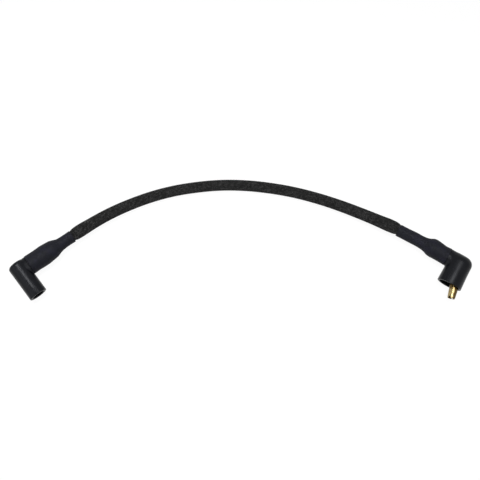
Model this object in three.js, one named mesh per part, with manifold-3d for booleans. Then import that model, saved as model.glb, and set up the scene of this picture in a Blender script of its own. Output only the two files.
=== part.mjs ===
// Ignition coil wire: a braided high-tension lead with a moulded elbow boot at each end.
// Millimetres, +Z up. The lead lies on Z = 0 with its plan in XY, and both boot legs lie flat too.
// Each end is modelled in a frame of its own: the stem runs along +X to the lead, the leg leaves
// the origin towards +Y, and +Z stays up.

import * as THREE from "three";
import { mergeVertices, toCreasedNormals } from "three/addons/utils/BufferGeometryUtils.js";
import Module from "manifold-3d";

const { degToRad } = THREE.MathUtils;

// Clearance between a piece and the one that it seats on.
const CLEARANCE = 0.3;

// How far a cut runs past the face that it opens.
const OVERCUT = 1;

// The lead, from the inside out.
const CORE_DIAMETER = 1.8;
const INSULATION_DIAMETER = 7;
const SLEEVE_WALL = 0.65;
const SLEEVE_SETBACK = 1;
const LEAD_SIDES = 12;
const CORE_SIDES = 8;
const LEAD_STEP = 14;

// Centre line of the lead, from the left elbow to the right one. Its first and last stretches are
// straight, where the stems and the shrink tubes hold it.
const ROUTE = [
  [-184, -7.2, 8.7],
  [-162.7, 7.7, 8.7],
  [-151.2, 15.7, 8.7],
  [-140.3, 23.4, 8.7],
  [-128, 31.4, 8.5],
  [-113, 40.4, 7.6],
  [-97.9, 48, 6.2],
  [-77.8, 56.1, 4.85],
  [-57.6, 61.8, 4.5],
  [-37.6, 65.2, 4.5],
  [-17.4, 67, 4.5],
  [2.7, 66.8, 4.5],
  [22.9, 64.8, 4.5],
  [43.1, 61.3, 4.5],
  [63.2, 56.1, 4.75],
  [83.4, 49.1, 6.4],
  [103.5, 40.7, 8.9],
  [117.2, 34.6, 10.25],
  [131.1, 28.3, 10.7],
  [144.6, 20.6, 10.7],
  [157.2, 13.4, 10.7],
  [183.3, -1.4, 10.7],
];

// Left boot: the slim elbow, with its socket hidden inside the leg.
const LEFT_ELBOW_ANGLE = 88.5;
const LEFT_LEG_DIAMETER = 15.8;
const LEFT_MOUTH_DIAMETER = 15.8;
const LEFT_LEG_LENGTH = 25.3;
const LEFT_CAP_HEIGHT = 7.8;
const LEFT_CAP_ROUND = 2.9;
const LEFT_BORE_DIAMETER = 11;
const LEFT_BORE_SHOULDER = 5.5;
const LEFT_STEM_DIAMETER = 14.8;
const LEFT_STEM_LENGTH = 35.5;
const LEFT_SHRINK_START = 8.5;
const LEFT_SHRINK_LENGTH = 43.5;

// Right boot: the wide elbow, with the split terminal standing out of its mouth.
const RIGHT_ELBOW_ANGLE = 92.2;
const RIGHT_LEG_DIAMETER = 20.4;
const RIGHT_MOUTH_DIAMETER = 21.4;
const RIGHT_LEG_LENGTH = 20.3;
const RIGHT_CAP_HEIGHT = 7.1;
const RIGHT_CAP_ROUND = 5;
const RIGHT_BORE_DIAMETER = 17.6;
const RIGHT_BORE_SHOULDER = 7;
const RIGHT_STEM_DIAMETER = 13.6;
const RIGHT_STEM_LENGTH = 30.8;
const RIGHT_SHRINK_START = 12.8;
const RIGHT_SHRINK_LENGTH = 45.7;

// What the two moulded boots share.
const STEM_TAPER_LENGTH = 4;
const STEM_TIP_WALL = 2.2;
const STEM_BEAD_LENGTH = 10;
const STEM_BEAD_HEIGHT = 0.4;
const RIM_ROUND = 0.5;
const MOUTH_CHAMFER = 0.4;
const SEAL_RIB_HEIGHT = 0.5;
const SEAL_RIB_WIDTH = 2;
const SEAL_RIB_DEPTH = 5;
const BOOT_SIDES = 32;

// Shrink tubes.
const SHRINK_WALL = 0.6;
const SHRINK_EASE = 4;
const SHRINK_SIDES = 24;

// Stamped brass terminals.
const SHEET = 0.6;
const STRAP_LAP = 1;
const STRAP_WIDTH = 4.4;
const STRAP_BEND = 3;
const CRIMP_START = 5;
const CRIMP_LENGTH = 8;
const CRIMP_GAP_ANGLE = 40;
const CONTACT_START = 4.5;
const CONTACT_SIDES = 24;
const SEAM_WIDTH = 0.6;
const SEAM_ANGLE = 70;

// Left contact: a socket that snaps over a post.
const SOCKET_DIAMETER = 7.8;
const SOCKET_END = 17;
const SOCKET_GROOVE_DEPTH = 0.5;
const SOCKET_GROOVE_WIDTH = 1.6;
const SOCKET_GROOVE_AT = 12;
const SOCKET_FLARE = 0.4;
const SOCKET_SLIT_WIDTH = 0.8;
const SPRING_WIRE_DIAMETER = 0.8;
const SPRING_GAP_ANGLE = 50;
const SPRING_STEPS = 20;

// Right contact: a split plug that bulges where it grips.
const PLUG_ANGLE = 104.8;
const PLUG_NECK_DIAMETER = 6;
const PLUG_BULGE_DIAMETER = 7.8;
const PLUG_TIP_DIAMETER = 6.5;
const PLUG_BULGE_AT = 20;
const PLUG_LENGTH = 30.5;
const PLUG_TIP_ROUND = 0.5;
const PLUG_SLIT_WIDTH = 0.8;
const PLUG_SLIT_LENGTH = 13;
const PLUG_CORNER_CLIP = 1.8;

// Radii that follow from the sizes above.
const coreRadius = CORE_DIAMETER / 2;
const insulationRadius = INSULATION_DIAMETER / 2;
const sleeveInnerRadius = insulationRadius + CLEARANCE;
const sleeveRadius = sleeveInnerRadius + SLEEVE_WALL;
const crimpInnerRadius = insulationRadius + CLEARANCE;
const crimpRadius = crimpInnerRadius + SHEET;
const wireBoreRadius = insulationRadius + CLEARANCE;
const chamberRadius = crimpRadius + 2 * CLEARANCE;
const socketRadius = SOCKET_DIAMETER / 2;
const plugNeckRadius = PLUG_NECK_DIAMETER / 2;

const wasm = await Module();
wasm.setup();

// A closed geometry as a solid that can be joined and cut.
function solid(geometry) {
  const bare = geometry.clone();
  bare.deleteAttribute("normal");
  bare.deleteAttribute("uv");
  const merged = mergeVertices(bare, 1e-4);
  return new wasm.Manifold(
    new wasm.Mesh({
      numProp: 3,
      vertProperties: merged.getAttribute("position").array,
      triVerts: new Uint32Array(merged.index.array),
    }),
  );
}

// A solid as a geometry again, smooth over its round faces and crisp at its edges.
function surface(body) {
  const mesh = body.getMesh();
  const geometry = new THREE.BufferGeometry();
  geometry.setAttribute("position", new THREE.BufferAttribute(mesh.vertProperties, 3));
  geometry.setIndex(new THREE.BufferAttribute(mesh.triVerts, 1));
  return toCreasedNormals(geometry, degToRad(30));
}

// Points of an arc in a revolved profile, from one angle to another in degrees.
function arc(centreRadius, centreAlong, radius, from, to, steps) {
  return Array.from({ length: steps + 1 }, (_, i) => {
    const angle = degToRad(from + ((to - from) * i) / steps);
    return [centreRadius + radius * Math.cos(angle), centreAlong + radius * Math.sin(angle)];
  });
}

// A solid of revolution from [radius, distance along the axis] pairs, with its axis in the XY plane
// at the given angle from +X.
function revolved(profile, angle, sides) {
  const points = profile.map(([radius, along]) => new THREE.Vector2(radius, along));
  return new THREE.LatheGeometry(points, sides).rotateZ(degToRad(angle - 90));
}

// A box that is long along an axis in the XY plane and stands radially out of it, as a cutter for
// a slit. The turn goes round that axis, from the direction that lies in the plane.
function slitCutter(angle, turn, width, from, to, reach) {
  const cutter = new THREE.BoxGeometry(reach, to - from, width);
  cutter.translate(reach / 2, (from + to) / 2, 0);
  return cutter.rotateY(degToRad(-turn)).rotateZ(degToRad(angle - 90));
}

function material(color, roughness, metalness) {
  return new THREE.MeshStandardMaterial({ color, roughness, metalness });
}

const rubber = () => material(0x1c1e21, 0.45, 0);
const shrinkFilm = () => material(0x28282e, 0.5, 0);
const braid = () => material(0x262626, 0.85, 0);
const brass = () => material(0xb58f42, 0.3, 1);
const springSteel = () => material(0xa8a8a4, 0.3, 1);
const tinnedCopper = () => material(0x9c8d7a, 0.4, 1);
const jacketRubber = () => material(0x202022, 0.7, 0);

function piece(name, geometry, finish) {
  const mesh = new THREE.Mesh(geometry, finish);
  mesh.name = name;
  return mesh;
}

// A stretch of the route, between two distances along it from the left elbow. Past either end of
// the route it carries straight on. All layers of the lead share their stations, one every
// LEAD_STEP, so that nested layers stay concentric.
class Stretch extends THREE.Curve {
  constructor(route, from, to) {
    super();
    this.route = route;
    this.stations = [from];
    const first = Math.ceil((from + 1) / LEAD_STEP);
    for (let at = first * LEAD_STEP; at < to - 1; at += LEAD_STEP) this.stations.push(at);
    this.stations.push(to);
  }

  get steps() {
    return this.stations.length - 1;
  }

  getPoint(t, target = new THREE.Vector3()) {
    const place = THREE.MathUtils.clamp(t, 0, 1) * this.steps;
    const index = Math.min(Math.floor(place), this.steps - 1);
    const [before, after] = this.stations.slice(index, index + 2);
    const along = THREE.MathUtils.lerp(before, after, place - index);
    const length = this.route.getLength();
    const inside = THREE.MathUtils.clamp(along, 0, length);
    return target
      .copy(this.route.getPointAt(inside / length))
      .addScaledVector(this.route.getTangentAt(inside / length), along - inside);
  }

  getPointAt(u, target) {
    return this.getPoint(u, target);
  }

  getTangentAt(u, target) {
    return this.getTangent(u, target);
  }
}

// A polygon of the given radius with a corner on +X, so that a swept one has a corner underneath.
function polygon(radius, sides) {
  return Array.from({ length: sides }, (_, i) => {
    const angle = (2 * Math.PI * i) / sides;
    return new THREE.Vector2(radius * Math.cos(angle), radius * Math.sin(angle));
  });
}

// One layer of the lead, swept along its stretch of the route.
function leadLayer(route, from, to, innerRadius, outerRadius, sides) {
  const section = new THREE.Shape(polygon(outerRadius, sides));
  if (innerRadius > 0) section.holes.push(new THREE.Path(polygon(innerRadius, sides)));
  const stretch = new Stretch(route, from, to);
  return new THREE.ExtrudeGeometry(section, { extrudePath: stretch, steps: stretch.steps });
}

// A moulded elbow boot: a capped leg and a stem with a beaded end, hollowed by the bore with its
// sealing rib, a chamber for the terminal, and the bore that grips the insulation.
function boot(size) {
  const legRadius = size.legDiameter / 2;
  const mouthRadius = size.mouthDiameter / 2;
  const stemRadius = size.stemDiameter / 2;
  const boreRadius = size.boreDiameter / 2;
  const capEdge = size.capRound - size.capHeight;
  const shoulder = size.stemLength - STEM_TAPER_LENGTH;
  const legLine = [
    [0, -size.capHeight],
    ...arc(legRadius - size.capRound, capEdge, size.capRound, -90, 0, 5),
    [legRadius, stemRadius],
    ...arc(mouthRadius - RIM_ROUND, size.legLength - RIM_ROUND, RIM_ROUND, 0, 90, 3),
    [0, size.legLength],
  ];
  const stemLine = [
    [0, 0],
    [stemRadius, 0],
    [stemRadius, shoulder - STEM_BEAD_LENGTH],
    [stemRadius + STEM_BEAD_HEIGHT, shoulder - STEM_BEAD_LENGTH / 2],
    [stemRadius + STEM_BEAD_HEIGHT, shoulder],
    [wireBoreRadius + STEM_TIP_WALL, size.stemLength],
    [0, size.stemLength],
  ];
  const ribAt = size.legLength - SEAL_RIB_DEPTH;
  const boreLine = [
    [0, -chamberRadius],
    [chamberRadius, -chamberRadius],
    [chamberRadius, size.boreShoulder],
    [boreRadius, size.boreShoulder + boreRadius - chamberRadius],
    [boreRadius, ribAt - SEAL_RIB_WIDTH / 2],
    [boreRadius - SEAL_RIB_HEIGHT, ribAt],
    [boreRadius, ribAt + SEAL_RIB_WIDTH / 2],
    [boreRadius, size.legLength - MOUTH_CHAMFER],
    [boreRadius + 2 * MOUTH_CHAMFER, size.legLength + MOUTH_CHAMFER],
    [0, size.legLength + MOUTH_CHAMFER],
  ];
  const crimpEnd = CRIMP_START + CRIMP_LENGTH + CLEARANCE;
  const wireLine = [
    [0, 0],
    [chamberRadius, 0],
    [chamberRadius, crimpEnd],
    [wireBoreRadius, crimpEnd + chamberRadius - wireBoreRadius],
    [wireBoreRadius, size.stemLength + OVERCUT],
    [0, size.stemLength + OVERCUT],
  ];
  const outside = solid(revolved(legLine, size.elbowAngle, BOOT_SIDES)).add(
    solid(revolved(stemLine, 0, BOOT_SIDES)),
  );
  const inside = solid(revolved(boreLine, size.elbowAngle, BOOT_SIDES)).add(
    solid(revolved(wireLine, 0, BOOT_SIDES)),
  );
  return surface(outside.subtract(inside));
}

// A shrink tube: it grips the stem, follows the stem's taper down and then grips the sleeve.
function shrinkTube(size) {
  const overStem = size.stemDiameter / 2 + CLEARANCE;
  const overSleeve = sleeveRadius + CLEARANCE;
  const shoulder = size.stemLength - STEM_TAPER_LENGTH;
  const end = size.shrinkStart + size.shrinkLength;
  const inner = [
    [overStem, size.shrinkStart],
    [overStem, shoulder - STEM_BEAD_LENGTH - CLEARANCE],
    [overStem + STEM_BEAD_HEIGHT, shoulder - STEM_BEAD_LENGTH / 2 - CLEARANCE],
    [overStem + STEM_BEAD_HEIGHT, shoulder + CLEARANCE / 2],
    [wireBoreRadius + STEM_TIP_WALL + CLEARANCE, size.stemLength + CLEARANCE],
    [overSleeve, size.stemLength + SHRINK_EASE],
    [overSleeve, end],
  ];
  const outer = inner.map(([radius, along]) => [radius + SHRINK_WALL, along]);
  const ring = [...outer, ...inner.reverse(), outer[0]];
  return revolved(ring, 0, SHRINK_SIDES);
}

// A strip of sheet bent once in the XY plane, from start round the corner to end.
function bentStrip(start, corner, end, bendRadius, width) {
  const before = corner.clone().sub(start).normalize();
  const after = end.clone().sub(corner).normalize();
  const turn = before.angleTo(after);
  const clockwise = before.cross(after) < 0;
  const setback = bendRadius * Math.tan(turn / 2);
  const inward = new THREE.Vector2(-before.y, before.x).multiplyScalar(clockwise ? -1 : 1);
  const centre = corner
    .clone()
    .addScaledVector(before, -setback)
    .addScaledVector(inward, bendRadius);
  const from = Math.atan2(-inward.y, -inward.x);
  const to = from + (clockwise ? -turn : turn);
  const side = (point, direction, amount) => {
    const across = new THREE.Vector2(-direction.y, direction.x);
    return point.clone().addScaledVector(across, clockwise ? amount : -amount);
  };
  const half = SHEET / 2;
  const outline = new THREE.Shape();
  outline.moveTo(...side(start, before, half).toArray());
  outline.absarc(centre.x, centre.y, bendRadius + half, from, to, clockwise);
  outline.lineTo(...side(end, after, half).toArray());
  outline.lineTo(...side(end, after, -half).toArray());
  outline.absarc(centre.x, centre.y, bendRadius - half, to, from, !clockwise);
  outline.lineTo(...side(start, before, -half).toArray());
  return new THREE.ExtrudeGeometry(outline, {
    depth: width,
    bevelEnabled: false,
    curveSegments: 6,
  }).translate(0, 0, -width / 2);
}

// The crimp barrel: a sheet wrapped round the insulation, its two wings meeting on the leg's side.
function crimpBarrel() {
  const from = degToRad(CRIMP_GAP_ANGLE / 2);
  const to = 2 * Math.PI - from;
  const outline = new THREE.Shape();
  outline.absarc(0, 0, crimpRadius, from, to, false);
  outline.absarc(0, 0, crimpInnerRadius, to, from, true);
  const alongStem = new THREE.Matrix4().makeBasis(
    new THREE.Vector3(0, 1, 0),
    new THREE.Vector3(0, 0, 1),
    new THREE.Vector3(1, 0, 0),
  );
  return new THREE.ExtrudeGeometry(outline, {
    depth: CRIMP_LENGTH,
    bevelEnabled: false,
    curveSegments: 18,
  })
    .applyMatrix4(alongStem)
    .translate(CRIMP_START, 0, 0);
}

// A stamped terminal without its slits: the crimp, the strap that carries it round the elbow's
// back, and the rolled contact whose wall the strap runs into.
function terminalBody(angle, contactLine, contactRadius) {
  const leg = new THREE.Vector2(1, 0).rotateAround(new THREE.Vector2(), degToRad(angle));
  const back = new THREE.Vector2(-leg.y, leg.x);
  const strapAtStem = -(crimpRadius - SHEET / 2);
  const strapAtLeg = contactRadius - SHEET / 2;
  const down = (strapAtStem - strapAtLeg * back.y) / leg.y;
  const alongBack = (distance) =>
    leg.clone().multiplyScalar(distance).addScaledVector(back, strapAtLeg);
  const strap = bentStrip(
    new THREE.Vector2(CRIMP_START + STRAP_LAP, strapAtStem),
    alongBack(down),
    alongBack(CONTACT_START + STRAP_LAP),
    STRAP_BEND,
    STRAP_WIDTH,
  );
  return solid(crimpBarrel())
    .add(solid(strap))
    .add(solid(revolved(contactLine, angle, CONTACT_SIDES)));
}

// The left terminal: its rolled socket has a groove for the spring and a flared, slit mouth.
function socketTerminal() {
  const grooveFrom = SOCKET_GROOVE_AT - SOCKET_GROOVE_WIDTH / 2;
  const grooveTo = SOCKET_GROOVE_AT + SOCKET_GROOVE_WIDTH / 2;
  const outer = [
    [socketRadius, CONTACT_START],
    [socketRadius, grooveFrom - SOCKET_GROOVE_DEPTH],
    [socketRadius - SOCKET_GROOVE_DEPTH, grooveFrom],
    [socketRadius - SOCKET_GROOVE_DEPTH, grooveTo],
    [socketRadius, grooveTo + SOCKET_GROOVE_DEPTH],
    [socketRadius, SOCKET_END - 2 * SOCKET_FLARE],
    [socketRadius + SOCKET_FLARE, SOCKET_END],
  ];
  const inner = outer.map(([radius, along]) => [radius - SHEET, along]).reverse();
  const line = [...outer, ...inner, outer[0]];
  const reach = SOCKET_DIAMETER;
  const slitFrom = SOCKET_GROOVE_AT + SOCKET_GROOVE_WIDTH;
  const past = SOCKET_END + OVERCUT;
  const cutter = (turn, from) =>
    solid(slitCutter(LEFT_ELBOW_ANGLE, turn, SOCKET_SLIT_WIDTH, from, past, reach));
  return surface(
    terminalBody(LEFT_ELBOW_ANGLE, line, socketRadius)
      .subtract(cutter(0, CONTACT_START - OVERCUT))
      .subtract(cutter(90, slitFrom))
      .subtract(cutter(-90, slitFrom)),
  );
}

// The wire spring that sits in the socket's groove and snaps behind the post's head.
function socketSpring() {
  const wireRadius = SPRING_WIRE_DIAMETER / 2;
  const ringRadius = socketRadius - SOCKET_GROOVE_DEPTH + CLEARANCE + wireRadius;
  const half = degToRad(SPRING_GAP_ANGLE / 2);
  const ring = new THREE.Curve();
  ring.getPoint = (t, target = new THREE.Vector3()) => {
    const angle = THREE.MathUtils.lerp(half, 2 * Math.PI - half, t);
    return target.set(ringRadius * Math.cos(angle), SOCKET_GROOVE_AT, ringRadius * Math.sin(angle));
  };
  return new THREE.ExtrudeGeometry(new THREE.Shape(polygon(wireRadius, 8)), {
    extrudePath: ring,
    steps: SPRING_STEPS,
  }).rotateZ(degToRad(LEFT_ELBOW_ANGLE - 90));
}

// The right terminal: a plug rolled from sheet, bulged where it grips, open along its seam, slit
// on the far side, and with one corner of the blank clipped beside the seam.
function plugTerminal() {
  const bulge = PLUG_BULGE_DIAMETER / 2;
  const tip = PLUG_TIP_DIAMETER / 2;
  const rise = (PLUG_BULGE_AT - CONTACT_START) / 3;
  const outer = [
    [plugNeckRadius, CONTACT_START],
    [plugNeckRadius, PLUG_BULGE_AT - 2 * rise],
    [THREE.MathUtils.lerp(plugNeckRadius, bulge, 0.8), PLUG_BULGE_AT - rise],
    [bulge, PLUG_BULGE_AT],
    [THREE.MathUtils.lerp(bulge, tip, 0.6), THREE.MathUtils.lerp(PLUG_BULGE_AT, PLUG_LENGTH, 0.6)],
    [tip, PLUG_LENGTH - PLUG_TIP_ROUND],
    [tip - PLUG_TIP_ROUND / 2, PLUG_LENGTH],
  ];
  const inner = outer.map(([radius, along]) => [radius - SHEET, along]).reverse();
  inner[0] = [tip - PLUG_TIP_ROUND / 2 - SHEET, PLUG_LENGTH];
  const line = [...outer, ...inner, outer[0]];
  const past = PLUG_LENGTH + OVERCUT;
  const reach = PLUG_BULGE_DIAMETER;
  const open = CONTACT_START - OVERCUT;
  const seam = slitCutter(PLUG_ANGLE, SEAM_ANGLE, SEAM_WIDTH, open, past, reach);
  const slit = slitCutter(
    PLUG_ANGLE,
    SEAM_ANGLE + 180,
    PLUG_SLIT_WIDTH,
    PLUG_LENGTH - PLUG_SLIT_LENGTH,
    past,
    reach,
  );
  const clip = new THREE.BoxGeometry(reach, 2 * PLUG_CORNER_CLIP, 2 * PLUG_CORNER_CLIP)
    .rotateX(degToRad(45))
    .translate(reach / 2, PLUG_LENGTH + PLUG_CORNER_CLIP / 2, -PLUG_CORNER_CLIP / 2)
    .rotateY(degToRad(-SEAM_ANGLE))
    .rotateZ(degToRad(PLUG_ANGLE - 90));
  return surface(
    terminalBody(PLUG_ANGLE, line, plugNeckRadius)
      .subtract(solid(seam))
      .subtract(solid(slit))
      .subtract(solid(clip)),
  );
}

// How far the core runs past the elbow, to meet the strap where it comes down the leg's back.
function coreReach(angle, contactRadius) {
  const leg = degToRad(angle);
  const room = contactRadius - SHEET - CLEARANCE - coreRadius * Math.abs(Math.cos(leg));
  return room / Math.sin(leg);
}

// An end's group, standing at its end of the route with +X along the lead.
function placedEnd(elbow, next, legSide) {
  const group = new THREE.Group();
  const inner = new THREE.Group();
  group.position.copy(elbow);
  group.rotation.z = Math.atan2(next.y - elbow.y, next.x - elbow.x);
  inner.rotation.x = legSide < 0 ? Math.PI : 0;
  group.add(inner);
  return { group, inner };
}

const leftSize = {
  elbowAngle: LEFT_ELBOW_ANGLE,
  legDiameter: LEFT_LEG_DIAMETER,
  mouthDiameter: LEFT_MOUTH_DIAMETER,
  legLength: LEFT_LEG_LENGTH,
  capHeight: LEFT_CAP_HEIGHT,
  capRound: LEFT_CAP_ROUND,
  boreDiameter: LEFT_BORE_DIAMETER,
  boreShoulder: LEFT_BORE_SHOULDER,
  stemDiameter: LEFT_STEM_DIAMETER,
  stemLength: LEFT_STEM_LENGTH,
  shrinkStart: LEFT_SHRINK_START,
  shrinkLength: LEFT_SHRINK_LENGTH,
};

const rightSize = {
  elbowAngle: RIGHT_ELBOW_ANGLE,
  legDiameter: RIGHT_LEG_DIAMETER,
  mouthDiameter: RIGHT_MOUTH_DIAMETER,
  legLength: RIGHT_LEG_LENGTH,
  capHeight: RIGHT_CAP_HEIGHT,
  capRound: RIGHT_CAP_ROUND,
  boreDiameter: RIGHT_BORE_DIAMETER,
  boreShoulder: RIGHT_BORE_SHOULDER,
  stemDiameter: RIGHT_STEM_DIAMETER,
  stemLength: RIGHT_STEM_LENGTH,
  shrinkStart: RIGHT_SHRINK_START,
  shrinkLength: RIGHT_SHRINK_LENGTH,
};

const points = ROUTE.map(([x, y, z]) => new THREE.Vector3(x, y, z));
const route = new THREE.CatmullRomCurve3(points, false, "centripetal");
const routeLength = route.getLength();

const coreFrom = -coreReach(LEFT_ELBOW_ANGLE, socketRadius);
const coreTo = routeLength + coreReach(PLUG_ANGLE, plugNeckRadius);
const core = leadLayer(route, coreFrom, coreTo, 0, coreRadius, CORE_SIDES);
const insulation = leadLayer(
  route,
  CRIMP_START,
  routeLength - CRIMP_START,
  coreRadius + CLEARANCE,
  insulationRadius,
  LEAD_SIDES,
);
const sleeve = leadLayer(
  route,
  LEFT_STEM_LENGTH + SLEEVE_SETBACK,
  routeLength - RIGHT_STEM_LENGTH - SLEEVE_SETBACK,
  sleeveInnerRadius,
  sleeveRadius,
  LEAD_SIDES,
);

const left = placedEnd(points[0], points[1], -1);
left.inner.add(
  piece("left_boot", boot(leftSize), rubber()),
  piece("left_heat_shrink", shrinkTube(leftSize), shrinkFilm()),
  piece("left_terminal", socketTerminal(), brass()),
  piece("left_terminal_spring", socketSpring(), springSteel()),
);

const right = placedEnd(points.at(-1), points.at(-2), 1);
right.inner.add(
  piece("right_boot", boot(rightSize), rubber()),
  piece("right_heat_shrink", shrinkTube(rightSize), shrinkFilm()),
  piece("right_terminal", plugTerminal(), brass()),
);

const coilWire = new THREE.Group();
coilWire.add(
  piece("conductor_core", core, tinnedCopper()),
  piece("wire_insulation", insulation, jacketRubber()),
  piece("braided_sleeve", sleeve, braid()),
  left.group,
  right.group,
);

export default coilWire;
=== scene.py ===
"""Ignition coil wire: a braided high-tension lead with a moulded elbow boot at each end.

Metres, +Z up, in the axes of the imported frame. The lead lies on Z = 0 and both boot legs lie flat.
"""

import math

import bpy
import numpy as np
from mathutils import Matrix, Vector


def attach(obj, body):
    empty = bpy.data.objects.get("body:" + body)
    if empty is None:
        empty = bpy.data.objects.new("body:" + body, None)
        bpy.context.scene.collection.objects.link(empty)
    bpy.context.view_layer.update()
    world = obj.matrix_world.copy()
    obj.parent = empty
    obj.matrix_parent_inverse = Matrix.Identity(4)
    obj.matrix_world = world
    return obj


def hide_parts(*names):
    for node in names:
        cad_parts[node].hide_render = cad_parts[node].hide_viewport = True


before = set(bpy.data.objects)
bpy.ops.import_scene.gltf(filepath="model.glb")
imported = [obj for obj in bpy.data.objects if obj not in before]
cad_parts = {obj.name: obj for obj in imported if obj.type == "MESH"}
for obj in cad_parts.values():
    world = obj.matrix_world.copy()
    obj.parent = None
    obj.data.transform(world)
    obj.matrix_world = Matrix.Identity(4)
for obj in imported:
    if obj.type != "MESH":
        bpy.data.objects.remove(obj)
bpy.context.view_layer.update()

bl_info = {
    "name": "Ignition Coil Wire",
    "version": (1, 0, 0),
    "blender": (4, 5, 0),
    "location": "View3D > Sidebar > Coil Wire",
    "description": "Builds a braided ignition lead with its boots, shrink tubes and terminals",
    "category": "Object",
}

MM = 0.001
MARGIN = 1 * MM

# How finely the boots and the terminals are carved, and the seeds of the shrink tubes' lumps.
BOOT_CELL = 0.35 * MM
BRASS_CELL = 0.2 * MM
RIPPLE_SEEDS = (11, 12)

# Centre line of the lead, from the left elbow to the right one.
ROUTE = [
    (-0.1840, -0.0072, 0.0087),
    (-0.1627, 0.0077, 0.0087),
    (-0.1512, 0.0157, 0.0087),
    (-0.1403, 0.0234, 0.0087),
    (-0.1280, 0.0314, 0.0085),
    (-0.1130, 0.0404, 0.0076),
    (-0.0979, 0.0480, 0.0062),
    (-0.0778, 0.0561, 0.00485),
    (-0.0576, 0.0618, 0.0045),
    (-0.0376, 0.0652, 0.0045),
    (-0.0174, 0.0670, 0.0045),
    (0.0027, 0.0668, 0.0045),
    (0.0229, 0.0648, 0.0045),
    (0.0431, 0.0613, 0.0045),
    (0.0632, 0.0561, 0.00475),
    (0.0834, 0.0491, 0.0064),
    (0.1035, 0.0407, 0.0089),
    (0.1172, 0.0346, 0.01025),
    (0.1311, 0.0283, 0.0107),
    (0.1446, 0.0206, 0.0107),
    (0.1572, 0.0134, 0.0107),
    (0.1833, -0.0014, 0.0107),
]

# What the two boots and their terminals share.
WIRE_BORE_RADIUS = 3.8 * MM
CHAMBER_RADIUS = 5.0 * MM
CONTACT_FROM = 4.5 * MM
CRIMP_FROM = 5 * MM
CRIMP_TO = 13 * MM
CRIMP_CLEARANCE = 0.3 * MM
SHEET = 0.6 * MM
SHEET_EDGE = 0.12 * MM
SLIT = 0.8 * MM
SLIT_EDGE = 0.1 * MM
FILM_WALL = 0.55 * MM
FILM_GAP = 0.1 * MM

# A stem's end: the step down from its collar, where its bead rises and is full, counted back from
# the taper behind the bead, and the wall round the wire.
COLLAR_STEP = 0.6 * MM
BEAD_RISES = 10 * MM
BEAD_FULL = 5 * MM
BEAD_HEIGHT = 0.4 * MM
TAPER_LENGTH = 4 * MM
END_WALL = 2.2 * MM

# A leg's rounded rim and bore edges, the rib in its bore, and the line where its mould parted.
RIM_ROUND = 0.4 * MM
BORE_EDGE = 0.25 * MM
BORE_FLARE = 0.8 * MM
RIB_SETBACK = 5 * MM
RIB_HALF = 1 * MM
RIB_HEIGHT = 0.5 * MM
PARTING_HEIGHT = 0.1 * MM
PARTING_HALF = 0.3 * MM

# Outlines of the shrink tubes, in millimetres: distance from the elbow, radius. The first is on
# the side away from the leg, the second on the leg's side.
LEFT_SHRINK_LINES = (
    [(8.5, 8.45), (10, 8.5), (14, 8.33), (19, 8.29), (24, 8.53), (29, 8.08), (33, 7.71),
     (36, 6.65), (39, 5.45), (43, 5.12), (47, 5.0), (52, 5.0)],
    [(8.5, 8.34), (10, 8.34), (14, 8.24), (19, 8.56), (24, 8.6), (29, 8.14), (33, 7.66),
     (36, 6.53), (39, 5.67), (43, 5.32), (47, 5.27), (52, 5.5)],
)
RIGHT_SHRINK_LINES = (
    [(11.2, 7.65), (13, 7.6), (16.3, 7.44), (20.3, 7.95), (25.3, 8.53), (28.3, 8.23), (31.3, 6.65),
     (34.3, 5.86), (38.3, 5.43), (44.3, 5.46), (50.3, 5.12), (58.5, 4.86)],
    [(11.2, 7.7), (13, 7.65), (16.3, 7.52), (20.3, 7.45), (25.3, 7.45), (28.3, 7.1), (31.3, 5.9),
     (34.3, 5.33), (38.3, 5.16), (44.3, 5.17), (50.3, 5.21), (58.5, 5.7)],
)

# Outlines of each boot's bare collar, between its leg and the shrink tube: first over its top,
# and then along its sides, where it is wider.
LEFT_COLLAR_LINES = (
    [(0, 6.9), (3.5, 6.9), (8.4, 6.0)],
    [(0, 7.6), (3, 7.8), (5, 8.1), (8.2, 8.25)],
)
RIGHT_COLLAR_LINES = (
    [(0, 7.0), (5, 7.1), (11, 6.6)],
    [(0, 7.0), (5, 7.4), (11, 7.5)],
)

# How the top of each leg falls away along it: where that starts, in millimetres from the elbow,
# which way it goes (1 to the mouth, -1 to the cap), and how fast it curves down, per millimetre.
LEFT_CREST_FALL = (17, 1, 0.0125)
RIGHT_CREST_FALL = (17, -1, 0.00325)

# How widely each leg and its stem blend.
LEFT_FILLET = 0.4 * MM
RIGHT_FILLET = 1.4 * MM

# Directions across the plug and out of it, each with the shift that sets its distance to 0: on the
# plug's axis, and at its tip. They place the brass's painted shade and painted shadow.
ACROSS_PLUG = ((0.967, -0.2547, 0), -0.17761)
OUT_OF_PLUG = ((-0.2547, -0.967, 0), 0.01483)

# What the camera looks at, and the lamps: what each hangs over, the way from there to it, its size,
# its power and its spread.
TARGET = (-0.00062, 0.0199, 0.005)
FOCUS = math.radians(40)
LAMPS = (
    ("left_key_lamp", (-0.175, -0.017, 0.012), (-0.16, 0.24, 0.957), 0.4, 0.44, FOCUS),
    ("right_key_lamp", (0.178, -0.010, 0.012), (0.1616, 0.108, 0.981), 0.46, 0.42, FOCUS),
    ("fill_lamp", TARGET, (-0.9, -0.5, 0.7), 1.2, 3, math.pi),
)
WORLD_LIGHT = 0.22
FLOOR_HALF = 3.0
FLOOR_PAINT = (0.8, 0.8, 0.8, 1)
FLOOR_GLOW = 1.09
GLOW_SHARE = 0.85
WHITE = (1, 1, 1, 1)


def display(red, green, blue):
    """The linear colour of 8-bit display values."""
    return tuple(
        channel / 255 / 12.92 if channel <= 10 else ((channel / 255 + 0.055) / 1.055) ** 2.4
        for channel in (red, green, blue)
    )


def size(name, description, default, kind=bpy.props.FloatProperty, **settings):
    return kind(name=name, description=description, default=default, **settings)


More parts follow.
